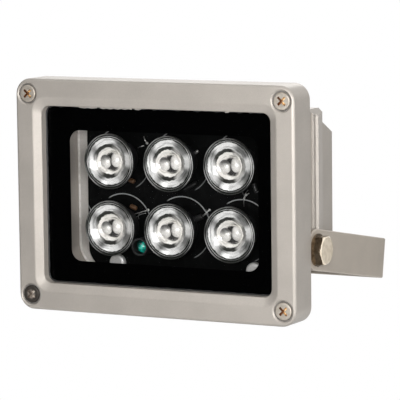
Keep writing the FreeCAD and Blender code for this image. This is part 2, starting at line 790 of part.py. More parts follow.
def driver():
    board_like("driver_board", DRIVER_FRONT, DRIVER_BACK,
               lambda sketch: rectangle(sketch, DRIVER_WIDTH, DRIVER_HEIGHT),
               d.driver_screw_thread + 2 * d.hole_gap, DRIVER_SCREWS)
    screws("driver_screws", DRIVER_FRONT, (d.driver_screw_head, d.driver_screw_height),
           d.driver_screw_height / 2, (d.driver_screw_thread, d.driver_screw_reach), DRIVER_SCREWS)
    quarter = DRIVER_WIDTH / 4
    parts = [
        ("driver_coil", d.coil_height, lambda sketch: circle(sketch, d.coil_width, -quarter, ZERO)),
        ("driver_capacitor", d.capacitor_height,
         lambda sketch: circle(sketch, d.capacitor_width, quarter, -quarter / 3)),
        ("driver_chip", d.chip_height, lambda sketch: rectangle(sketch, d.chip_width, d.chip_width)),
        ("driver_plug", d.plug_height,
         lambda sketch: rectangle(sketch, d.plug_width, d.plug_width / 2, quarter, quarter / 2)),
    ]
    for label, tall, draw in parts:
        slab(head_body(label), DRIVER_FRONT - tall, DRIVER_FRONT, draw)


def cable_gland():
    gland = head_body("cable_gland")
    slab(gland, BOSS_FACE - d.gland_thread_length, BOSS_FACE, lambda sketch: circle(sketch, d.gland_thread))
    slab(gland, BOSS_FACE, HEX_FACE, lambda sketch: hexagon(sketch, d.gland_flats))
    neck_end = HEX_FACE + d.gland_neck_length
    slab(gland, HEX_FACE, neck_end, lambda sketch: circle(sketch, d.gland_neck))
    recess(gland, BOSS_FACE - d.gland_thread_length, neck_end, lambda sketch: circle(sketch, d.gland_bore))
    nut = head_body("gland_nut")
    start, end = HEX_FACE + d.fit_gap, HEX_FACE + d.fit_gap + d.nut_length
    wide, bore = d.nut_width / 2, d.gland_neck / 2 + d.thread_gap
    ledge = neck_end + d.fit_gap
    seal_end = ledge + d.gland_seal_length
    seal_wide = bore - d.nut_shoulder
    mouth = d.nut_mouth / 2
    brow = mouth + d.nut_shoulder
    lean = 1 - math.sqrt(0.5)
    turned(nut, [(bore, start), (wide, start), (wide, end - d.nut_dome), (brow, end), (mouth, end),
                 (mouth, seal_end), (seal_wide, seal_end), (seal_wide, ledge), (bore, ledge)],
           {2: (wide - (wide - brow) * lean, end - d.nut_dome * lean)})
    seal = head_body("gland_seal")
    turned(seal, [(d.gland_seal_bore / 2, ledge), (seal_wide - d.thread_gap, ledge),
                  (seal_wide - d.thread_gap, seal_end), (d.gland_seal_bore / 2, seal_end)])


def pivot_bolts():
    """Hexagon bolts with a bevelled crown, a corner towards the front, each on a thin washer."""
    corner = d.bolt_flats * (1 / math.sqrt(3))
    crown = d.bolt_crown / 2
    top = BOLT_SEAT + d.bolt_head
    for side, name in ((-1, "left"), (1, "right")):
        bolt = head_body(f"tilt_bolt_{name}", z=-PIVOT_DROP, y=d.pivot_depth)
        head = side_sketch(bolt, side * top)
        hexagon(head, d.bolt_flats)
        pad(bolt, head, d.bolt_head, Reversed=side > 0)
        shank = side_sketch(bolt, side * BOLT_SEAT)
        circle(shank, d.bolt_thread)
        pad(bolt, shank, d.bolt_reach, Reversed=side > 0)
        outside = 2 * corner - crown
        turned(bolt, [(side * top, crown), (side * top, outside), (side * (top - d.bolt_chamfer), outside)],
               kind="Groove", axis="H_Axis")
        washer = head_body(f"tilt_washer_{name}", z=-PIVOT_DROP, y=d.pivot_depth)
        disc = side_sketch(washer, side * BOLT_SEAT)
        circle(disc, d.washer_size)
        circle(disc, d.bolt_thread + 2 * d.hole_gap)
        pad(washer, disc, d.washer_thick, Reversed=side > 0)


def bracket():
    """A flat strip bent to a U, drawn lying along Y and then tilted about its wall face."""
    body = doc.addObject("PartDesign::Body", "bracket")
    body.Label = "bracket"
    tilt = FreeCAD.Rotation(FreeCAD.Vector(1, 0, 0), -d.rest_tilt.number)
    body.Placement = FreeCAD.Placement(FreeCAD.Vector(), tilt)
    bind(body, ".Placement.Rotation.Angle", -d.rest_tilt)
    nodes.append(body)
    outer, bend, thick = LEG_OUTER, d.bend_radius, d.strip_thick
    inner = outer - thick
    reach = -d.arm_length
    bow = bend * (1 - math.sqrt(0.5))
    inner_bow = (bend - thick) * (1 - math.sqrt(0.5))
    sketch = plan_sketch(body)
    outline(sketch,
            [(-outer, reach), (-outer, -bend), (bend - outer, ZERO), (outer - bend, ZERO), (outer, -bend),
             (outer, reach), (inner, reach), (inner, -bend), (outer - bend, -thick), (bend - outer, -thick),
             (-inner, -bend), (-inner, reach)],
            {1: (bow - outer, -bow), 3: (outer - bow, -bow),
             7: (inner - inner_bow, -thick - inner_bow), 9: (inner_bow - inner, -thick - inner_bow)})
    pad(body, sketch, d.strip_width, Midplane=True)
    for side in (-1, 1):
        disc = side_sketch(body, side * outer)
        circle(disc, d.strip_width, reach, ZERO)
        rounded_end = pad(body, disc, thick, Reversed=side > 0)
    half = d.strip_width / 2

    def on_the_rim(edge):
        round_end = edge.Curve.TypeId == "Part::GeomCircle" and abs(edge.Curve.Radius - half.number) < 1e-4
        return lies_at(edge, "Z", half) or lies_at(edge, "Z", -half) or round_end

    round_edges(body, rounded_end, d.strip_edge, on_the_rim)
    hole = side_sketch(body, outer)
    circle(hole, d.pivot_hole, reach, ZERO)
    pocket(body, hole, 2 * outer)
    wall = front_sketch(body, -thick)
    circle(wall, d.stud_hole)
    for side in (-1, 1):
        circle(wall, d.wall_hole, side * d.wall_pitch / 2, ZERO)
    pocket(body, wall, thick)


def check_and_write():
    """Stops on any failed object, then writes one file for each node."""
    doc.recompute()
    for thing in doc.Objects:
        if "Invalid" in thing.State or "Error" in thing.State:
            raise RuntimeError(f"{thing.Label} failed: {thing.State}")
    for node in nodes:
        if node.Shape.isNull() or not node.Shape.isValid():
            raise RuntimeError(f"{node.Label} has no valid shape")
    for node in nodes:
        node.Shape.exportStep(f"parts/{node.Label}.step")
        print(node.Label, len(node.Shape.Solids), "solids", round(node.Shape.Volume, 2), "mm3")


front_bezel()
bezel_screws()
front_glass()
glass_seals()
housing()
lamp_board()
lamps()
light_sensor()
driver()
cable_gland()
pivot_bolts()
bracket()
check_and_write()
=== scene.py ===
"""Looks of an infrared illuminator: a metal housing with a glass front and six reflector lamps, which tilts
in a U bracket. Lengths in tables and constants are in millimetres, unless a comment says otherwise."""
import json
import math

import bpy
from mathutils import Matrix, Quaternion, Vector


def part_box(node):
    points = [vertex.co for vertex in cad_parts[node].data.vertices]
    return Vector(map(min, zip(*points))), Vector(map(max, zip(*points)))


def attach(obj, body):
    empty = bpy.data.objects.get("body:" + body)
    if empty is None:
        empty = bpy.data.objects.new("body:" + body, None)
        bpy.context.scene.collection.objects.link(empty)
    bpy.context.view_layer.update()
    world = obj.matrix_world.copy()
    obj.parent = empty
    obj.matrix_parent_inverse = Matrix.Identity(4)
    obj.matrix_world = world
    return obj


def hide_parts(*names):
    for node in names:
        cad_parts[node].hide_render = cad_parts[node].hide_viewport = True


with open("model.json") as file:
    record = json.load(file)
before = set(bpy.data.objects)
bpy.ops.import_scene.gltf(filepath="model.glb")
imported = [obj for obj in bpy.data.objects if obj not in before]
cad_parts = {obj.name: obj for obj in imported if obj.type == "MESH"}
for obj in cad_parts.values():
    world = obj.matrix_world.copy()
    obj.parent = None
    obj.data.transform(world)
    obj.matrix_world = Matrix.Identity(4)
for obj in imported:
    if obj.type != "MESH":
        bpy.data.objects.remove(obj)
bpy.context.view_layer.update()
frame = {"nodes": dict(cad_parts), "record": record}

MM = 0.001
LAMPS = range(1, 7)


def middle(node):
    """The middle of a solid's box."""
    low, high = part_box(node)
    return (low + high) / 2


bezel_low, bezel_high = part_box("front_bezel")
FRONT = Vector((0, bezel_low.y, (bezel_low.z + bezel_high.z) / 2))
BOARD_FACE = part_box("lamp_board")[0].y
GLASS_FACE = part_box("front_glass")[0].y


def at(x, y, z):
    """A place given in millimetres from the middle of the bezel's front face."""
    return FRONT + Vector((x, y, z)) * MM


def away(azimuth, elevation):
    """The way out from the object for two angles in degrees, azimuth counted from the front towards +X."""
    azimuth, elevation = math.radians(azimuth), math.radians(elevation)
    return Vector((math.sin(azimuth) * math.cos(elevation), -math.cos(azimuth) * math.cos(elevation),
                   math.sin(elevation)))


# Camera and studio. Distances, sizes and corners are in metres here, while the lens, the sensor and the two
# aims, which are places for at(), are in millimetres.

CAMERA_AIM = (19.58, 0, 1.06)
CAMERA_AZIMUTH, CAMERA_ELEVATION, CAMERA_ROLL = 27.83, 6.78, -0.70
CAMERA_DISTANCE = 0.9857
CAMERA_LENS, CAMERA_SENSOR = 246.25, 36
LIGHT_AIM = (0, 20, 0)


def add_camera():
    """A long lens, from the right and a little above, that leans slightly."""
    back = away(CAMERA_AZIMUTH, CAMERA_ELEVATION)
    camera = bpy.data.objects.new("camera", bpy.data.cameras.new("camera"))
    bpy.context.scene.collection.objects.link(camera)
    camera.data.lens = CAMERA_LENS
    camera.data.sensor_width = CAMERA_SENSOR
    turn = Quaternion(back, math.radians(CAMERA_ROLL)) @ back.to_track_quat("Z", "Y")
    place = at(*CAMERA_AIM) + back * CAMERA_DISTANCE
    camera.matrix_world = Matrix.Translation(place) @ turn.to_matrix().to_4x4()
    bpy.context.scene.camera = camera


def add_light(name, azimuth, elevation, distance, size, energy):
    """A soft square lamp that faces the object."""
    back = away(azimuth, elevation)
    lamp = bpy.data.lights.new(name, "AREA")
    lamp.size = size
    lamp.energy = energy
    light = bpy.data.objects.new(name, lamp)
    bpy.context.scene.collection.objects.link(light)
    turn = back.to_track_quat("Z", "Y").to_matrix().to_4x4()
    light.matrix_world = Matrix.Translation(at(*LIGHT_AIM) + back * distance) @ turn


class Signal:
    """A shader socket that adds, multiplies and compares as a number does, by adding Math nodes. a | b is
    the larger of two, and a & b the smaller."""

    def __init__(self, finish, socket):
        self.finish = finish
        self.socket = socket

    def maths(self, operation, *others):
        """A Math node with this signal first."""
        values = dict(enumerate((self, *others)))
        return self.finish.node("ShaderNodeMath", {"operation": operation}, values)

    def __add__(self, other):
        return self.maths("ADD", other)

    def __mul__(self, other):
        return self.maths("MULTIPLY", other)

    def __sub__(self, other):
        return self.maths("SUBTRACT", other)

    def __rsub__(self, other):
        return self.maths("MULTIPLY_ADD", -1, other)

    def __truediv__(self, other):
        return self.maths("DIVIDE", other)

    def __pow__(self, other):
        return self.maths("POWER", other)

    def __abs__(self):
        return self.maths("ABSOLUTE")

    def __or__(self, other):
        return self.maths("MAXIMUM", other)

    def __and__(self, other):
        return self.maths("MINIMUM", other)

    def wrap(self, low, high):
        return self.maths("WRAP", high, low)

    def step(self, low, high):
        """0 below low and 1 above high, or the other way round, with a smooth rise between."""
        return self.finish.node("ShaderNodeMapRange", {"interpolation_type": "SMOOTHSTEP"},
                                {"Value": self, "From Min": low, "From Max": high})


class Finish:
    """One material, with its principled shader and patterns that lie in the piece's own space."""

    def __init__(self, name, **plain):
        self.material = bpy.data.materials.new(name)
        self.material.use_nodes = True
        self.tree = self.material.node_tree
        self.shader = self.tree.nodes["Principled BSDF"]
        self.place = self.node("ShaderNodeTexCoord", out="Object")
        self.relief = None
        for socket, value in plain.items():
            self.set(socket.replace("_", " "), value)

    def node(self, kind, settings=None, sockets=None, out=0):
        """A new node: its settings first, then the values or links of its sockets. Returns one output."""
        node = self.tree.nodes.new(kind)
        for name, value in (settings or {}).items():
            setattr(node, name, value)
        for socket, value in (sockets or {}).items():
            if isinstance(value, Signal):
                self.tree.links.new(value.socket, node.inputs[socket])
            else:
                node.inputs[socket].default_value = value
        return Signal(self, node.outputs[out])

    def set(self, socket, value):
        """Sets or links a socket of the principled shader."""
        if isinstance(value, Signal):
            self.tree.links.new(value.socket, self.shader.inputs[socket])
        else:
            self.shader.inputs[socket].default_value = (*value, 1) if socket == "Base Color" else value

    def axes(self, origin=(0, 0, 0)):
        """The piece's own x, y and z, counted from a point."""
        moved = self.node("ShaderNodeVectorMath", {"operation": "SUBTRACT"},
                          {0: self.place, 1: tuple(origin)})
        split = self.tree.nodes.new("ShaderNodeSeparateXYZ")
        self.tree.links.new(moved.socket, split.inputs[0])
        return [Signal(self, output) for output in split.outputs]

    def noise(self, size, detail=2.0, roughness=0.5, stretch=None):
        """Cloudy noise from 0 to 1 with lumps about size millimetres wide."""
        place = self.place
        if stretch:
            place = self.node("ShaderNodeMapping", None, {"Vector": place, "Scale": stretch})
        return self.node("ShaderNodeTexNoise", None, {"Vector": place, "Scale": 1 / (size * MM),
                                                      "Detail": detail, "Roughness": roughness})

    def mix(self, share, first, second):
        """A colour between two others."""
        pair = [value if isinstance(value, Signal) else (*value, 1) for value in (first, second)]
        return self.node("ShaderNodeMix", {"data_type": "RGBA"}, {0: share, 6: pair[0], 7: pair[1]}, out=2)

    def bump(self, height, depth):
        """Raises the surface by up to depth millimetres where height is 1."""
        sockets = {"Height": height, "Distance": depth * MM}
        if self.relief:
            sockets["Normal"] = self.relief
        self.relief = self.node("ShaderNodeBump", None, sockets)
        self.set("Normal", self.relief)


def seen_as_white(finish, shown):
    """Shows white to camera, mirrors and glass where shown is 1, and the shader's own light elsewhere."""
    rays = finish.tree.nodes.new("ShaderNodeLightPath")
    camera, glossy, through = (Signal(finish, rays.outputs[name]) for name in
                               ("Is Camera Ray", "Is Glossy Ray", "Is Transmission Ray"))
    white = finish.node("ShaderNodeEmission", None, {"Color": (1, 1, 1, 1), "Strength": 1.0})
    surface = Signal(finish, finish.shader.outputs[0])
    share = (camera | glossy | through) * shown
    mixed = finish.node("ShaderNodeMixShader", None, {0: share, 1: surface, 2: white})
    output = next(node for node in finish.tree.nodes if node.type == "OUTPUT_MATERIAL")
    finish.tree.links.new(mixed.socket, output.inputs["Surface"])


FLOOR = FRONT.z - 0.30
FLOOR_WIDTH = 16
SHADOW_REACH, WHITE_REACH = 0.1, 0.3


def add_floor():
    """A wide pale floor below the lamp, that keeps its shadow and is white further out."""
    bpy.ops.mesh.primitive_plane_add(size=FLOOR_WIDTH, location=(0, 0, FLOOR))
    floor = bpy.context.object
    floor.name = "studio_floor"
    finish = Finish("studio_floor", Base_Color=(0.86, 0.86, 0.86), Roughness=0.8)
    x, y, _ = finish.axes()
    reach = (x * x + y * y) ** 0.5
    seen_as_white(finish, reach.step(SHADOW_REACH, WHITE_REACH))
    floor.data.materials.append(finish.material)


def add_flag(name, corners, shade):
    """A studio wall that only mirror-like surfaces show, given by two opposite lower and upper corners."""
    (x0, y0, z0), (x1, y1, z1) = corners
    bpy.ops.mesh.primitive_plane_add(size=1)
    flag = bpy.context.object
    flag.name = name
    width, height = math.hypot(x1 - x0, y1 - y0), z1 - z0
    turn = Matrix.Rotation(math.atan2(y1 - y0, x1 - x0), 4, "Z") @ Matrix.Rotation(math.pi / 2, 4, "X")
    middle_place = Matrix.Translation(((x0 + x1) / 2, (y0 + y1) / 2, (z0 + z1) / 2))
    flag.matrix_world = middle_place @ turn @ Matrix.Diagonal((width, height, 1, 1))
    finish = Finish(name, Base_Color=(shade, shade, shade), Roughness=0.9)
    flag.data.materials.append(finish.material)
    flag.visible_camera = flag.visible_diffuse = flag.visible_shadow = flag.visible_transmission = False


def add_world():
    """A faint even light, which the camera, mirrors and glass see as plain white."""
    world = bpy.data.worlds.new("studio")
    bpy.context.scene.world = world
    world.use_nodes = True
    tree = world.node_tree
    tree.nodes.clear()
    soft, white = (tree.nodes.new("ShaderNodeBackground") for _ in range(2))
    soft.inputs["Color"].default_value = (0.97, 0.98, 1.0, 1)
    soft.inputs["Strength"].default_value = 0.05
    white.inputs["Color"].default_value = (1, 1, 1, 1)
    white.inputs["Strength"].default_value = 1.0
    rays = tree.nodes.new("ShaderNodeLightPath")
    seen = rays.outputs["Is Camera Ray"]
    for name in ("Is Glossy Ray", "Is Transmission Ray"):
        either = tree.nodes.new("ShaderNodeMath")
        either.operation = "MAXIMUM"
        tree.links.new(seen, either.inputs[0])
        tree.links.new(rays.outputs[name], either.inputs[1])
        seen = either.outputs[0]
    mixed = tree.nodes.new("ShaderNodeMixShader")
    tree.links.new(seen, mixed.inputs[0])
    tree.links.new(soft.outputs[0], mixed.inputs[1])
    tree.links.new(white.outputs[0], mixed.inputs[2])
    output = tree.nodes.new("ShaderNodeOutputWorld")
    tree.links.new(mixed.outputs[0], output.inputs[0])


# Name, two opposite corners and shade.
FLAGS = [
    ("front_flag", ((-2.7, -1.5, FLOOR), (0.12, -1.5, 0.72)), 0.01),
    ("left_flag", ((-1.5, -1.6, FLOOR), (-1.5, 0.5, 0.8)), 0.01),
    ("right_flag", ((0.55, 1.1, FLOOR), (1.3, 0.35, 0.5)), 0.05),
]

# Name, azimuth, elevation, distance, width and watts.
LIGHTS = [
    ("main_softbox", 31, 9.5, 0.42, 0.10, 0.98),
    ("front_softbox", 4, 4, 0.45, 0.14, 0.46),
    ("right_softbox", 68, 10, 0.45, 0.2, 0.80),
    ("high_softbox", -15, 38, 1.2, 0.4, 0.81),
    ("back_softbox", 200, 40, 1.1, 0.6, 4.4),
    ("back_right_softbox", 140, 20, 1.1, 0.5, 0.4),
]


def add_studio():
    bpy.context.scene.view_settings.view_transform = "Standard"
    add_world()
    add_floor()
    for flag in FLAGS:
        add_flag(*flag)
    for light in LIGHTS:
        add_light(*light)


# Finishes

PAINT_ROUGHNESS = 0.42


def metallic_paint(name, dark, light):
    """Silver-grey paint with fine metal flakes, slightly uneven as sprayed on a casting."""
    finish = Finish(name, Metallic=0.35, Coat_Weight=0.12, Coat_Roughness=0.3)
    cloud, flake, speck = finish.noise(12, 4, 0.6), finish.noise(0.35, 2), finish.noise(0.14, 1)
    share = cloud * 0.35 + flake * 0.4 + speck * 0.25
    finish.set("Base Color", finish.mix(share.step(0.3, 0.7), dark, light))
    finish.set("Roughness", flake * 0.08 + cloud * 0.05 + PAINT_ROUGHNESS)
    finish.bump(flake * 0.6 + speck * 0.4, 0.012)
    return finish.material


def plated(name, roughness, metallic=1.0):
    """Plated metal with fine marks. Returns it with its patches, from 0 to 1, for the tints."""
    finish = Finish(name, Metallic=metallic)
    patch, scratch = finish.noise(1.6, 3), finish.noise(0.25, 3, 0.6, (1, 0.3, 1))
    finish.set("Roughness", patch * 0.12 + scratch * 0.1 + roughness)
    finish.bump(scratch, 0.015)
    return finish, patch.step(0.35, 0.7)


def plated_steel(name, color, shade, roughness, metallic=1.0):
    """Plated metal with a patchy tint."""
    finish, patches = plated(name, roughness, metallic)
    finish.set("Base Color", finish.mix(patches, color, shade))
    return finish.material


# The bezel's screws: the width of a head, the recess's reach from its middle and how far back it can lie,
# the depth from which other screws begin, and the inner edges of the corner with the darker one.
SCREW_HEAD = 6.5
RECESS_REACH = 2.2
RECESS_FLOOR = 5
HEADS_END = 12
DARK_SCREW_CORNER = (-44, -30)


def screw_steel():
    """Satin plated screws with yellow passivation in their cross recesses, coloured there with painted light
    on the right half near the middle and painted shade on the left and towards the arms' ends. The lower
    left bezel screw is darker, most towards its edge, with a grey recess, and the screws behind the bezel
    are pale."""
    finish, patches = plated("screw_steel", 0.34, 0.5)
    low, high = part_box("bezel_screws")
    x, y, z = finish.axes((0, low.y, FRONT.z))
    head = SCREW_HEAD / 2 * MM
    u, v = abs(x) - (high.x - head), abs(z) - (high.z - FRONT.z - head)
    radius = (u * u + v * v) ** 0.5
    inside = 1 - radius.step((RECESS_REACH - 0.1) * MM, (RECESS_REACH + 0.1) * MM)
    behind = y.step(RECESS_FLOOR * MM, (RECESS_FLOOR + 1) * MM)
    recess = y.step(0.1 * MM, 0.3 * MM) * inside * (1 - behind)
    left, below = (1 - place.step((edge - 1) * MM, edge * MM) for place, edge in zip((x, z), DARK_SCREW_CORNER))
    dark = left * below
    stain = finish.noise(0.7, 2)
    # Painted light on the recess's right half near its middle, painted shade on its left and its arms' ends.
    painted_lit_half = (x.maths("SIGN") * u).step(-0.6 * MM, 0.2 * MM)
    recess_end_shade = radius.step(0.8 * MM, 1.9 * MM)
    bright = painted_lit_half * (1 - stain.step(0.5, 0.7) * 0.3) * (1 - recess_end_shade * 0.8)
    gold = finish.mix(bright, (0.24, 0.10, 0.035), (1.0, 0.74, 0.42))
    gold = finish.mix(dark, gold, finish.mix(bright, (0.30, 0.25, 0.21), (0.88, 0.82, 0.75)))
    steel = finish.mix(patches, (0.50, 0.45, 0.39), (0.42, 0.37, 0.31))
    # The lower left bezel screw is darker, most towards the edge of its head.
    darker_edge = (radius + (stain - 0.5) * MM).step(1.3 * MM, 2.0 * MM)
    darkened_head = finish.mix(darker_edge, (0.26, 0.22, 0.19), (0.045, 0.038, 0.032))
    steel = finish.mix(dark, steel, darkened_head)
    steel = finish.mix(y.step(HEADS_END * MM, (HEADS_END + 2) * MM), steel, (0.88, 0.87, 0.85))
    finish.set("Base Color", finish.mix(recess, steel, gold))
    return finish.material


def bolt_steel():
    """Plated tilt bolts: mirror-like hex sides darkened by painted shade, and a paler, flatter end face
    whose paleness is painted light.
    """
    finish, patches = plated("bolt_steel", 0.07)
    x, _, _ = finish.axes()
    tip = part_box("tilt_bolt_right")[1].x
    end = abs(x).step(tip - 0.5 * MM, tip - 0.25 * MM)
    # Painted shade darkens the hex sides and painted light pales the end face: one plating in two copies.
    painted_dark_flats = finish.mix(patches, (0.36, 0.29, 0.21), (0.20, 0.15, 0.10))
    face = finish.mix(patches, (0.94, 0.83, 0.67), (0.74, 0.63, 0.48))
    finish.set("Base Color", finish.mix(end, painted_dark_flats, face))
    finish.set("Metallic", 1 - end * 0.75)
    return finish.material


def clear_glass():
    """The front glass, nearly clear, with faint smears in its gloss."""
    finish = Finish("clear_glass", Base_Color=(0.002, 0.0025, 0.0025), Alpha=0.06, IOR=1.5,
                    Specular_IOR_Level=0.9)
    smear = finish.noise(14, 3)
    finish.set("Roughness", smear.step(0.4, 0.8) * 0.05 + 0.015)
    return finish.material


def black_print():
    """The border printed behind the glass: black, with a few specks of dust."""
    finish = Finish("black_print", Specular_IOR_Level=0.0)
    dust = finish.noise(0.5, 2)
    specks = dust.step(0.66, 0.75)
    finish.set("Base Color", finish.mix(specks, (0.0008, 0.0008, 0.0009), (0.002, 0.002, 0.002)))
    finish.set("Roughness", finish.noise(6, 2) * 0.2 + 0.5)
    return finish.material


def rubber(name):
    """Matt black rubber with a fine grain."""
    finish = Finish(name)
    grain = finish.noise(0.5, 3)
    finish.set("Base Color", finish.mix(grain, (0.008, 0.008, 0.008), (0.03, 0.029, 0.028)))
    finish.set("Roughness", grain * 0.2 + 0.55)
    finish.bump(grain, 0.05)
    return finish.material


def plastic(name, dark, light, roughness, grain_size=0.3, grain_depth=0.02):
    """Moulded plastic with a fine grain and a cloudy tint."""
    finish = Finish(name)
    grain, cloud = finish.noise(grain_size, 2), finish.noise(3, 2)
    finish.set("Base Color", finish.mix(cloud, dark, light))
    finish.set("Roughness", grain * 0.14 + roughness)
    finish.bump(grain, grain_depth)
    return finish.material


def milled_aluminium():
    """Bare aluminium with the lines of the mill."""
    finish = Finish("plain_aluminium", Metallic=0.25)
    lines = finish.noise(0.4, 3, 0.6, (0.05, 1, 1))
    finish.set("Base Color", finish.mix(lines, (0.62, 0.60, 0.57), (0.78, 0.76, 0.73)))
    finish.set("Roughness", lines * 0.2 + 0.3)
    finish.bump(lines, 0.02)
    return finish.material


# The lamps: the depth of the cups' lip, the painted reflection's lean, and the emitters' shift from the
# cup's middle.
LIP_DEPTH = 12.3
CUP_LEAN = 0.42
CORE_SHIFT = -0.55


def lamp_polar(finish, lean=0.0):
    """Round the middle of the nearest lamp: the radius in millimetres, the angle, and 1 in the upper row.
    With a lean the middle moves left with depth, from the depth of the lamp's lip."""
    centre = (middle("lamp_base_2") + middle("lamp_base_5")) / 2
    pitch = middle("lamp_base_2").x - middle("lamp_base_1").x
    rise = (middle("lamp_base_2").z - middle("lamp_base_5").z) / 2
    x, y, z = finish.axes((centre.x, FRONT.y + LIP_DEPTH * MM, centre.z))
    upper = z.step(-0.01 * MM, 0.01 * MM)
    across, up = x.wrap(-pitch / 2, pitch / 2) + y * lean, (abs(z) - rise) * (upper * 2 - 1)
    radius = (across * across + up * up) ** 0.5 / MM
    return radius, up.maths("ARCTAN2", across), upper


# The printed arcs' radius, half their width and the fade of their ends in radians, and the tracks' pitch.
RING_RADIUS = 11.8
RING_HALF = 0.2
ARC_FADE = 0.12
TRACK_PITCH = 7

# Row (1 above, -1 below), start and end in degrees, and strength. The arcs are real print, but which parts
# show and how strongly is painted light and shade.
PRINTED_ARCS = [(-1, 12, 118, 1.0), (-1, -62, -38, 0.5), (1, 112, 152, 0.8), (1, -58, -30, 0.45)]


def lamp_board_mask():
    """Black solder mask with printed arcs round the lamps, shown in parts and at strengths that paint their
    light and shade, and faint tracks under it.
    """
    finish = Finish("black_board", Specular_IOR_Level=0.08)
    radius, angle, upper = lamp_polar(finish)
    wear = finish.noise(1.2, 3)
    ring = 1 - abs(radius - RING_RADIUS).step(RING_HALF * 0.7, RING_HALF * 1.3)
    arcs = None
    # Painted light and shade: each printed arc shows only over its span, at its own strength.
    for row, start, end, painted_arc_light in PRINTED_ARCS:
        here = upper if row > 0 else 1 - upper
        start, end = math.radians(start), math.radians(end)
        arc = here * angle.step(start - ARC_FADE, start) * (1 - angle.step(end, end + ARC_FADE)) * painted_arc_light
        arcs = arcs | arc if arcs else arc
    ink = arcs * ring * (wear.step(0.30, 0.42) * 0.4 + 0.6)
    track = finish.node("ShaderNodeTexVoronoi", {"feature": "DISTANCE_TO_EDGE"},
                        {"Vector": finish.place, "Scale": 1 / (TRACK_PITCH * MM)})
    copper = 1 - track.step(0.03, 0.07)
    base = finish.mix(copper, (0.0025, 0.0027, 0.0027), (0.0038, 0.0041, 0.0041))
    finish.set("Base Color", finish.mix(ink, base, (0.34, 0.35, 0.35)))
    finish.set("Roughness", ink * 0.3 + finish.noise(0.8, 2) * 0.12 + 0.35)
    finish.bump(copper, 0.03)
    return finish.material


def reflector_chrome():
    """Plated cup with turned rings, whose colour is a painted reflection: a bright bowl, dark crescents, a
    broad bright band, a dark groove, a ridge, a gap and a lip, most with painted lobes of light and shade
    round the cup's middle."""
    finish = Finish("reflector_chrome", Specular_IOR_Level=0.1, Coat_IOR=2.0, Coat_Roughness=0.06)
    radius, angle, _ = lamp_polar(finish, CUP_LEAN)
    across, up = angle.maths("COSINE"), angle.maths("SINE")
    cloud, speck = finish.noise(1.3, 3), finish.noise(0.18, 2)
    uneven = radius + (cloud - 0.5) * 0.9
    oval = uneven + abs(up) * 0.3 - 0.1

    # Streaks of the painted reflection that follow the rings, others in each cup.
    x, _, z = finish.axes()
    outwards = uneven * 1.1 + x * 25 + z * 25
    around = finish.node("ShaderNodeCombineXYZ", None, {0: outwards, 1: across * 1.3, 2: up * 1.3})
    swirl = finish.node("ShaderNodeTexNoise", None, {"Vector": around, "Scale": 1.0, "Detail": 1.0})

    def lobe(towards, reach):
        """1 towards an angle in degrees, and 0 beyond a reach on either side."""
        turn = abs((angle - math.radians(towards)).wrap(-math.pi, math.pi))
        return 1 - turn.step(math.radians(reach * 0.3), math.radians(reach))

    # Painted reflection: each turned ring's brightness, with lobes of painted light and painted shade round
    # the cup.
    bowl = 1.3 - lobe(60, 25) * 0.45 - lobe(240, 25) * 0.3
    crescent = (lobe(200, 50) + lobe(320, 34)) * 0.6 + lobe(5, 26) * 0.25 + lobe(50, 34) * 0.4 + 0.03
    band = lobe(103, 46) | lobe(195, 50) * 0.72 | lobe(282, 46) | lobe(6, 26) * 0.8
    band = band * 0.9 + 0.18
    groove = lobe(5, 26) * 0.55 + lobe(190, 34) * 0.12
    ridge = lobe(110, 60) * 0.5 + lobe(5, 40) * 0.9 + lobe(215, 60) * 0.6 + 0.2
    lip = lobe(118, 62) * 0.22 + lobe(350, 50) * 0.3 + lobe(215, 40) * 0.25 + 0.03
    painted_reflection = bowl
    for place, start, end, ring in ((oval, 5.0, 5.4, crescent), (oval, 6.4, 6.9, band),
                                    (uneven, 8.6, 8.9, groove), (radius, 9.2, 9.3, ridge),
                                    (radius, 9.5, 9.6, 0.0), (radius, 9.9, 9.98, lip)):
        painted_reflection = painted_reflection + place.step(start, end) * (ring - painted_reflection)
    painted_reflection = (painted_reflection * (swirl.step(0.36, 0.58) * 0.6 + 0.62)) & 1.0
    bright = finish.mix(uneven.step(5, 7), (1.0, 0.97, 0.91), (0.99, 0.99, 0.97))
    finish.set("Base Color", finish.mix(painted_reflection, (0.016, 0.018, 0.015), bright))
    # Metallic raised in the band's upper and lower lobes, to mirror more light there as painted sheen.
    painted_sheen = (lobe(103, 46) | lobe(276, 50)) * uneven.step(6.4, 7.0) * (1 - uneven.step(8.6, 9.0))
    finish.set("Metallic", painted_sheen * 0.55 + 0.04)
    finish.set("Coat Weight", painted_reflection.step(0.05, 0.4))
    finish.set("Roughness", cloud * 0.08 + speck.step(0.62, 0.7) * 0.1 + 0.16)
    finish.bump(cloud, 0.05)
    return finish.material


def clear_dome():
    """Clear silicone with small bubbles."""
    finish = Finish("lamp_silicone", Base_Color=(0.92, 0.92, 0.90), IOR=1.42, Transmission_Weight=1.0)
    bubble = finish.noise(0.9, 2)
    finish.set("Roughness", bubble.step(0.6, 0.75) * 0.06 + 0.01)
    finish.bump(bubble, 0.02)
    return finish.material


def green_dome():
    """The light sensor's glossy dome, with painted light on its right."""
    finish = Finish("sensor_green", Coat_Weight=1.0, Coat_Roughness=0.04)
    cloud, streak = finish.noise(1.6, 2), finish.noise(0.9, 2, 0.5, (1, 1, 0.3))
    x, _, z = finish.axes(middle("light_sensor"))
    # Painted light: brighter towards the right and below, in streaks.
    right = (x - z * 0.5 + (cloud - 0.5) * (3 * MM)).step(-0.9 * MM, 0.5 * MM)
    painted_dome_light = right * (streak.step(0.35, 0.6) * 0.6 + 0.4)
    finish.set("Base Color", finish.mix(painted_dome_light, (0.002, 0.05, 0.04), (0.012, 0.62, 0.47)))
    finish.set("Roughness", cloud * 0.2 + 0.12)
    return finish.material


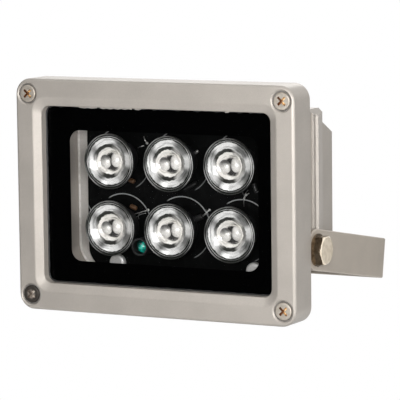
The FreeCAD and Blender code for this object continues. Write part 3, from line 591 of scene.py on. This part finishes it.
def emitter_silver():
    """The bright domed emitters in the middle of a lamp, with painted shade on the left one above and along
    the right one's left and outer edges.
    """
    finish = Finish("emitter_silver", Metallic=0.1, Coat_Weight=0.8, Coat_Roughness=0.05)
    radius, angle, _ = lamp_polar(finish)
    across, up = radius * angle.maths("COSINE") - CORE_SHIFT, radius * angle.maths("SINE")
    # Painted shade: dark on the left emitter above, and along the right emitter's left and outer edges.
    left = (1 - across.step(-0.6, 0.2)) * up.step(-0.6, 1.6)
    right = across.step(-0.2, 0.2) * ((1 - across.step(0.5, 1.6)) | radius.step(3.7, 4.6) * 0.9)
    shade = left | right
    grain = finish.noise(0.5, 2)
    bright = finish.mix(grain, (0.88, 0.85, 0.80), (1.0, 0.98, 0.94))
    finish.set("Base Color", finish.mix(shade * 0.9, bright, (0.03, 0.03, 0.03)))
    finish.set("Roughness", grain * 0.1 + 0.22)
    return finish.material


def carrier_grey():
    """The emitters' carrier, coloured with painted shade dark between them and with painted reflection as
    bright as the bowl towards its edge, reaching further in below.
    """
    finish = Finish("carrier_grey", Coat_Roughness=0.1)
    radius, angle, _ = lamp_polar(finish)
    grain = finish.noise(0.6, 2)
    # Painted light and shade: dark in the middle, bright towards the edge, and bright further in below.
    lower = (0 - angle.maths("SINE")).step(0.2, 0.8)
    edge = (radius + (grain - 0.5) * 0.8 - lower * 0.5).step(2.6, 3.6)
    finish.set("Base Color", finish.mix(edge, (0.035, 0.034, 0.033), (0.90, 0.87, 0.82)))
    finish.set("Roughness", grain * 0.15 + 0.2)
    return finish.material


def resistor_brown():
    """Brown lacquer with blotches."""
    finish = Finish("resistor_brown", Coat_Weight=0.4)
    grain, blotch = finish.noise(0.25, 2), finish.noise(1.1, 2)
    finish.set("Base Color", finish.mix(blotch, (0.060, 0.026, 0.010), (0.16, 0.085, 0.040)))
    finish.set("Roughness", grain * 0.2 + 0.35)
    return finish.material


# Modelling helpers

def model(name, add, **settings):
    """Starts a new piece from one of Blender's primitives, placed in its mesh and open for editing."""
    bpy.ops.object.select_all(action="DESELECT")
    add(**settings)
    piece = bpy.context.object
    piece.name = name
    bpy.ops.object.transform_apply(location=True, rotation=True, scale=True)
    bpy.ops.object.mode_set(mode="EDIT")
    bpy.ops.mesh.select_mode(type="VERT")
    bpy.ops.mesh.select_all(action="SELECT")
    return piece


def select_faces(piece, wanted):
    """In edit mode, selects the faces that a test names and no other."""
    bpy.ops.mesh.select_mode(type="FACE")
    bpy.ops.mesh.select_all(action="DESELECT")
    bpy.ops.object.mode_set(mode="OBJECT")
    for face in piece.data.polygons:
        face.select = wanted(face)
    bpy.ops.object.mode_set(mode="EDIT")


def close(piece, smooth):
    """Ends the editing of a piece: merges doubles, turns its faces outwards and shades smooth what bends
    less than smooth degrees."""
    bpy.ops.mesh.select_all(action="SELECT")
    bpy.ops.mesh.remove_doubles(threshold=1e-6)
    bpy.ops.mesh.normals_make_consistent(inside=False)
    bpy.ops.object.mode_set(mode="OBJECT")
    bpy.ops.object.shade_smooth_by_angle(angle=math.radians(smooth))
    return piece


def turn_profile(name, centre, stations, segments=96):
    """A turned piece round the line into the head: a ring is extruded from station to station, each a
    radius and a depth behind the bezel's front."""
    radius, depth = stations[0]
    piece = model(name, bpy.ops.mesh.primitive_circle_add, vertices=segments, radius=radius * MM,
                  location=(centre.x, FRONT.y + depth * MM, centre.z), rotation=(math.pi / 2, 0, 0))
    for wide, deep in stations[1:]:
        bpy.ops.mesh.extrude_edges_move(TRANSFORM_OT_translate={"value": (0, (deep - depth) * MM, 0)})
        hub = (centre.x, FRONT.y + deep * MM, centre.z)
        bpy.ops.transform.resize(value=(wide / radius, 1, wide / radius), center_override=hub)
        radius, depth = wide, deep
    return piece


def copy_to(piece, name, shift):
    """A copy with its own mesh, moved in its mesh."""
    twin = piece.copy()
    twin.data = piece.data.copy()
    twin.name = name
    twin.data.transform(Matrix.Translation(shift))
    bpy.context.scene.collection.objects.link(twin)
    return twin


def join(name, pieces):
    """Makes several finished pieces one, under a name."""
    bpy.ops.object.select_all(action="DESELECT")
    for piece in pieces:
        piece.select_set(True)
    bpy.context.view_layer.objects.active = pieces[0]
    bpy.ops.object.join()
    pieces[0].name = name
    return pieces[0]


def put(piece, material, replaced=()):
    """Gives a finished piece its material and its slot, and lets it ride on the head."""
    if material:
        piece.data.materials.clear()
        piece.data.materials.append(material)
    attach(piece, "head")
    if replaced:
        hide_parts(*replaced)


def put_in_lamps(piece, name, replaced):
    """Puts the first lamp's finished piece and its copies into all lamps, each in place of a solid."""
    for number in LAMPS:
        shift = middle(f"lamp_base_{number}") - middle("lamp_base_1")
        twin = piece if number == 1 else copy_to(piece, f"{name}_{number}", shift)
        put(twin, None, [f"{replaced}_{number}"])


# Pieces

# Radius and depth: the middle hole, the bowl, the step, the band, the groove, the lip and the outside.
CUP_STATIONS = [
    (3.75, 16.7), (3.75, 15.3),
    (3.8, 15.1), (3.95, 14.98), (4.2, 14.88), (4.6, 14.74), (5.0, 14.56), (5.3, 14.36), (5.5, 14.18),
    (5.62, 14.06), (5.75, 13.96), (6.0, 13.9), (6.15, 13.9), (6.3, 13.85),
    (6.6, 13.76), (7.0, 13.62), (7.5, 13.44), (8.0, 13.24), (8.5, 13.02), (8.95, 12.81), (9.25, 12.67),
    (9.4, 12.62), (9.48, 12.68), (9.52, 12.8), (9.62, 12.86), (9.82, 12.86), (9.91, 12.8), (9.95, 12.65),
    (9.95, 12.2), (9.99, 12.07), (10.07, 12.0), (10.2, 12.0), (10.29, 12.04), (10.34, 12.12), (10.35, 12.25),
    (10.35, 13.3), (10.3, 13.45), (8.3, 16.7), (3.75, 16.7),
]
CUP_BACK = 16.65
RIM_BACK = 12.5
OUTSIDE_RADIUS = 9


def make_lamp_cups(chrome, black):
    """Six plated cups: a thin raised lip, a wide band and a bowl inside it, black in the groove between lip
    and band and on their outside."""
    first = middle("lamp_base_1")
    cup = turn_profile("lamp_cup_1", first, CUP_STATIONS)
    close(cup, 30)
    cup.data.materials.append(chrome)
    cup.data.materials.append(black)
    for face in cup.data.polygons:
        out = Vector((face.center.x - first.x, 0, face.center.z - first.z))
        depth = (face.center.y - FRONT.y) / MM
        outside = face.normal.dot(out) > 0 and depth > RIM_BACK and out.length > OUTSIDE_RADIUS * MM
        face.material_index = int(outside or depth > CUP_BACK)
    put_in_lamps(cup, "lamp_cup", "lamp_reflector")


# Across, up, width, height, rise and lean in degrees.
CORE_LOBES = [(-2.2, -0.3, 4.6, 5.2, 1.5, 25), (2.2, 0.3, 4.2, 5.4, 1.7, 10)]
CORE_SEAT = 15.4
CORE_WIDTH, CORE_HEIGHT, CORE_THICK = 9.6, 7.1, 1.2
CORE_ROUNDING = 0.25


def make_lamp_cores(silver, grey):
    """In the middle of each cup, an oval carrier with two bright domed emitters side by side, both coloured
    with painted light and shade.
    """
    first = middle("lamp_base_1")
    depth = FRONT.y + CORE_SEAT * MM
    carrier = model("lamp_carrier", bpy.ops.mesh.primitive_cylinder_add, vertices=64, radius=0.5, depth=1,
                    location=(first.x + CORE_SHIFT * MM, depth, first.z), rotation=(math.pi / 2, 0, 0),
                    scale=(CORE_WIDTH * MM, CORE_HEIGHT * MM, CORE_THICK * MM))
    select_faces(carrier, lambda face: face.normal.y < -0.9)
    bpy.ops.mesh.bevel(offset=CORE_ROUNDING * MM, segments=4)
    close(carrier, 40)
    carrier.data.materials.append(grey)
    lobes = []
    for across, up, width, height, rise, lean in CORE_LOBES:
        seat = depth - CORE_THICK * 0.4 * MM
        hub = Vector((first.x + (across + CORE_SHIFT) * MM, seat, first.z + up * MM))
        lobe = model("lamp_lobe", bpy.ops.mesh.primitive_uv_sphere_add, segments=40, ring_count=24,
                     radius=0.5, location=hub, rotation=(math.pi / 2, 0, 0),
                     scale=(width * MM, height * MM, 2 * rise * MM))
        bpy.ops.transform.rotate(value=math.radians(lean), orient_axis="Y", center_override=hub)
        bpy.ops.mesh.bisect(plane_co=hub, plane_no=(0, 1, 0), clear_outer=True, use_fill=True)
        close(lobe, 50)
        lobe.data.materials.append(silver)
        lobes.append(lobe)
    put_in_lamps(join("lamp_core_1", [carrier] + lobes), "lamp_core", "lamp_dome")


def make_tube(name, knots, radius, material, closed=False, around=3, along=6):
    """A tube on a smooth curve through its knots, each a place for at() and a share of the radius. Around
    and along are how fine it is."""
    bpy.ops.object.select_all(action="DESELECT")
    bpy.ops.curve.primitive_bezier_curve_add()
    tube = bpy.context.object
    tube.name = name
    curve, spline = tube.data, tube.data.splines[0]
    spline.bezier_points.add(len(knots) - len(spline.bezier_points))
    spline.use_cyclic_u = closed
    for knot, (place, share) in zip(spline.bezier_points, knots):
        knot.co = at(*place)
        knot.handle_left_type = knot.handle_right_type = "AUTO"
        knot.radius = share
    curve.bevel_depth = radius * MM
    curve.bevel_resolution, curve.resolution_u = around, along
    curve.use_fill_caps = not closed
    bpy.ops.object.convert(target="MESH")
    bpy.ops.object.mode_set(mode="EDIT")
    close(tube, 60)
    put(tube, material)


def make_barrel(name, material, start, end, diameter, ends):
    """A small round part that lies between two places, its ends rounded by a share of its diameter."""
    start, end = at(*start), at(*end)
    along = end - start
    turn = along.to_track_quat("Z", "Y").to_euler()
    barrel = model(name, bpy.ops.mesh.primitive_cylinder_add, vertices=32, radius=diameter / 2 * MM,
                   depth=along.length, location=(start + end) / 2, rotation=turn)
    select_faces(barrel, lambda face: abs(face.normal.dot(along.normalized())) > 0.9)
    bpy.ops.mesh.bevel(offset=ends * diameter * MM, segments=4)
    close(barrel, 40)
    put(barrel, material)


def make_solder(name, place, size, material):
    """A small domed drop of solder on the board."""
    drop = model(name, bpy.ops.mesh.primitive_uv_sphere_add, segments=24, ring_count=14,
                 radius=size / 2 * MM, location=at(*place), scale=(1, 0.7, 0.85))
    bpy.ops.mesh.bisect(plane_co=(0, BOARD_FACE, 0), plane_no=(0, 1, 0), clear_outer=True, use_fill=True)
    close(drop, 60)
    put(drop, material)


# Name, finish, both ends, diameter, and the share of it by which the ends are rounded.
BARRELS = [
    ("board_sleeve_1", "sleeve_black", (2.6, 21.7, -10.6), (9.1, 21.7, -7.9), 2.3, 0.15),
    ("board_sleeve_2", "sleeve_black", (1.6, 22.1, 1.8), (6.5, 22.1, 4.4), 1.7, 0.15),
    ("board_sleeve_3", "sleeve_black", (30.2, 22.1, 5.2), (31.2, 22.1, 2.2), 1.6, 0.15),
    ("board_resistor_1", "resistor_brown", (-22.8, 22.1, 4.6), (-19.6, 22.1, 3.7), 1.7, 0.3),
    ("board_resistor_2", "resistor_brown", (-21.6, 22.1, -5.4), (-18.9, 22.1, -6.4), 1.7, 0.3),
    ("board_part_1", "board_tin", (5.6, 22.3, 15.3), (7.4, 22.3, 16.3), 1.3, 0.3),
]

SOLDER_DROPS = [(11.3, 23, -5.6), (26.5, 23, 0.7), (-14.6, 23, -6.8), (-14.6, 23, 18.3)]
SOLDER_SIZE = 1.3

# The thickness of each bare lead and the places it passes.
LEADS = [
    (0.35, (-21.4, 22.4, -8.9), (-19.0, 22.1, -8.2), (-16.5, 22.3, -7.4), (-14.6, 22.8, -6.8)),
    (0.3, (-21.6, 22.5, -10.3), (-19.3, 22.2, -9.6), (-17.2, 22.5, -8.4), (-15.4, 22.9, -8.0)),
    (0.3, (-18.6, 22.9, -10.4), (-18.2, 22.2, -8.9), (-17.0, 22.0, -7.6), (-15.2, 22.8, -7.2)),
    (0.4, (-15.9, 22.9, 20.8), (-15.2, 22.5, 19.6), (-14.6, 22.9, 18.3)),
    (0.3, (-18.4, 22.9, 16.4), (-17.2, 22.4, 17.0), (-15.8, 22.9, 17.3)),
    (0.55, (9.0, 22.1, -7.9), (10.2, 22.0, -6.9), (11.3, 22.9, -5.6)),
    (0.4, (26.6, 22.8, 0.9), (26.2, 22.0, -1.2), (25.7, 22.9, -3.5)),
    (0.35, (25.3, 22.7, 1.6), (26.5, 22.0, 0.6), (27.9, 22.9, 1.4)),
    (0.3, (27.4, 22.9, 2.6), (26.6, 22.0, 0.9), (25.5, 22.9, -0.7)),
    (0.3, (9.9, 22.9, -5.4), (10.7, 22.2, -6.3), (11.0, 22.9, -7.3)),
]


def make_board_parts(finishes):
    """The small parts on the lamp board: sleeved and brown parts, bare leads and drops of solder."""
    tin = finishes["board_tin"]
    for name, finish, *form in BARRELS:
        make_barrel(name, finishes[finish], *form)
    for number, (thickness, *places) in enumerate(LEADS, 1):
        knots = [(place, 1) for place in places]
        make_tube(f"board_lead_{number}", knots, thickness / 2, tin)
    for number, place in enumerate(SOLDER_DROPS, 1):
        make_solder(f"board_solder_{number}", place, SOLDER_SIZE, tin)


def finish_with(piece, kind, **settings):
    """Adds one modifier to a piece and applies it."""
    bpy.context.view_layer.objects.active = piece
    bpy.ops.object.modifier_add(type=kind)
    modifier = piece.modifiers[-1]
    for name, value in settings.items():
        setattr(modifier, name, value)
    bpy.ops.object.modifier_apply(modifier=modifier.name)


# The seam lies SEAM_LIFT before the plate and is SEAM_REACH wider than it.
SEAM_LIFT = 0.15
SEAM_REACH = 0.7
SEAM_CORNER = 10.2
SEAM_WIDTH, SEAM_THICK, SEAM_ROUNDING = 0.85, 0.6, 0.25


def make_seam(edge):
    """A raised edge of the plate where it meets the chamber's wall, put there with a pale colour as a
    painted highlight.
    """
    low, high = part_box("mounting_plate")
    hub = (FRONT.x, low.y - SEAM_LIFT * MM, FRONT.z)
    wide, tall = (high.x - low.x) / MM + SEAM_REACH, (high.z - low.z) / MM + SEAM_REACH
    seam = model("chamber_seam", bpy.ops.mesh.primitive_plane_add, size=MM, rotation=(math.pi / 2, 0, 0),
                 location=hub)
    bpy.ops.transform.resize(value=(wide, 1, tall), center_override=hub)
    bpy.ops.mesh.bevel(offset=SEAM_CORNER * MM, segments=12, affect="VERTICES")
    bpy.ops.mesh.select_all(action="SELECT")
    bpy.ops.mesh.inset(thickness=SEAM_WIDTH * MM)
    bpy.ops.mesh.delete(type="FACE")
    bpy.ops.object.mode_set(mode="OBJECT")
    finish_with(seam, "SOLIDIFY", thickness=SEAM_THICK * MM, offset=0)
    finish_with(seam, "BEVEL", width=SEAM_ROUNDING * MM, segments=3, limit_method="ANGLE")
    bpy.ops.object.mode_set(mode="EDIT")
    close(seam, 50)
    put(seam, edge)


# Radius and depth.
SEAT_STATIONS = [(3.32, 2.3), (3.32, 0.85), (3.42, 0.7), (3.6, 0.7), (3.7, 0.85), (3.7, 2.3), (3.32, 2.3)]


def make_screw_seats(steel):
    """A narrow washer round each head of the bezel's screws."""
    low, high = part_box("bezel_screws")
    head = SCREW_HEAD / 2 * MM
    across, up = (high.x - low.x) / 2 - head, (high.z - low.z) / 2 - head
    first = FRONT + Vector((-across, 0, -up))
    seat = close(turn_profile("screw_seat_1", first, SEAT_STATIONS, 64), 40)
    for number, (x, z) in enumerate(((0, 0), (2 * across, 0), (0, 2 * up), (2 * across, 2 * up)), 1):
        piece = seat if number == 1 else copy_to(seat, f"screw_seat_{number}", Vector((x, 0, z)))
        put(piece, steel)


# The opening's half width, half height and corner radius.
OPENING_WIDE, OPENING_TALL, OPENING_CORNER = 47.3, 33.1, 3.3
CORNER_STEPS = 4
BEAD_STEP = 1.5
BEAD_RADIUS = 0.38
BEAD_INWARD, BEAD_LIFT = 0.12, 0.1
BEAD_CALM = 0.35


def opening_path():
    """Places across and up, round the opening from its upper right corner on."""
    wide, tall = OPENING_WIDE - OPENING_CORNER, OPENING_TALL - OPENING_CORNER
    path = []
    for turn, (x, z) in enumerate(((wide, tall), (-wide, tall), (-wide, -tall), (wide, -tall))):
        for step in range(CORNER_STEPS + 1):
            angle = math.pi / 2 * (turn + step / CORNER_STEPS)
            path.append((x + OPENING_CORNER * math.cos(angle), z + OPENING_CORNER * math.sin(angle)))
        side = (2 * wide, 2 * tall)[turn % 2]
        (x, z), (right, up) = path[-1], ((-1, 0), (0, -1), (1, 0), (0, 1))[turn]
        count = int(side / BEAD_STEP)
        path += [(x + right * side * k / count, z + up * side * k / count) for k in range(1, count)]
    return path


def make_sealant(material):
    """The dark bead in the corner between the glass and the opening, roughest along the upper edge."""
    depth = (GLASS_FACE - FRONT.y) / MM - BEAD_LIFT
    knots = []
    for index, (x, z) in enumerate(opening_path()):
        rough = math.sin(index * 1.9) * math.sin(index * 0.73 + 1) + 0.5 * math.sin(index * 4.1)
        rough *= 1 if z > OPENING_TALL - OPENING_CORNER / 2 else BEAD_CALM
        inward = BEAD_INWARD + 0.1 * rough
        place = (x * (1 - inward / OPENING_WIDE), depth, z * (1 - inward / OPENING_TALL))
        knots.append((place, 1 + 0.45 * rough))
    make_tube("sealant_bead", knots, BEAD_RADIUS, material, closed=True, around=2, along=3)


# Start and end across the opening.
SMEARS = [(-31.5, -24.0), (-22.5, -9.5), (-8.0, -5.5), (29.0, 30.5)]
SMEAR_DEPTH = 2.3
SMEAR_THICK = 0.45


def make_smears(material):
    """Pale streaks of dried sealant under the opening's upper edge."""
    for number, (start, end) in enumerate(SMEARS, 1):
        count = max(3, int(end - start))
        knots = []
        for k in range(count):
            depth = SMEAR_DEPTH + 0.3 * math.sin(k * 1.7)
            height = OPENING_TALL - 0.2 + 0.14 * math.sin(k * 2.3 + number)
            knots.append(((start + (end - start) * k / (count - 1), depth, height), 1))
        make_tube(f"sealant_smear_{number}", knots, SMEAR_THICK / 2, material)


def dress_nodes(finishes):
    """Gives each carried-over solid the finish of its slot."""
    for part in frame["record"]["subparts"]:
        node = frame["nodes"][part["node"]]
        node.data.materials.clear()
        node.data.materials.append(finishes[part["material_slot"]])


def build():
    """Gives the solids their finishes and adds the modelled pieces."""
    finishes = {
        "silver_paint": metallic_paint("silver_paint", (0.405, 0.371, 0.333), (0.498, 0.457, 0.412)),
        "bracket_paint": metallic_paint("bracket_paint", (0.44, 0.390, 0.332), (0.55, 0.487, 0.413)),
        "screw_steel": screw_steel(),
        "bolt_steel": bolt_steel(),
        "board_tin": plated_steel("board_tin", (0.62, 0.62, 0.61), (0.40, 0.40, 0.39), 0.3),
        "clear_glass": clear_glass(),
        "black_print": black_print(),
        "black_rubber": rubber("black_rubber"),
        "plain_aluminium": milled_aluminium(),
        "black_board": lamp_board_mask(),
        "reflector_chrome": reflector_chrome(),
        "lamp_base_plastic": plastic("lamp_base_plastic", (0.008, 0.008, 0.008), (0.02, 0.02, 0.019), 0.35),
        "lamp_silicone": clear_dome(),
        "sensor_green": green_dome(),
        "resistor_brown": resistor_brown(),
        "sleeve_black": plastic("sleeve_black", (0.006, 0.006, 0.006), (0.014, 0.014, 0.014), 0.38),
        "driver_green": plastic("driver_green", (0.01, 0.08, 0.035), (0.02, 0.13, 0.05), 0.35),
        "component_dark": plastic("component_dark", (0.02, 0.02, 0.02), (0.045, 0.045, 0.045), 0.5),
        "gland_black": plastic("gland_black", (0.01, 0.01, 0.01), (0.02, 0.02, 0.02), 0.42, 0.4, 0.03),
    }
    dress_nodes(finishes)
    make_lamp_cups(finishes["reflector_chrome"], finishes["sleeve_black"])
    make_lamp_cores(emitter_silver(), carrier_grey())
    make_board_parts(finishes)
    # The seam's pale colour is a painted highlight along the edge of the plate.
    make_seam(plated_steel("seam_painted_highlight", (0.95, 0.93, 0.90), (0.75, 0.72, 0.68), 0.3, 0.2))
    make_screw_seats(plated_steel("screw_seat", (0.34, 0.32, 0.30), (0.25, 0.235, 0.22), 0.35, 0.4))
    make_sealant(finishes["sleeve_black"])
    make_smears(plastic("dry_sealant", (0.30, 0.28, 0.26), (0.62, 0.59, 0.55), 0.5, 0.5, 0.1))


add_camera()
add_studio()
build()
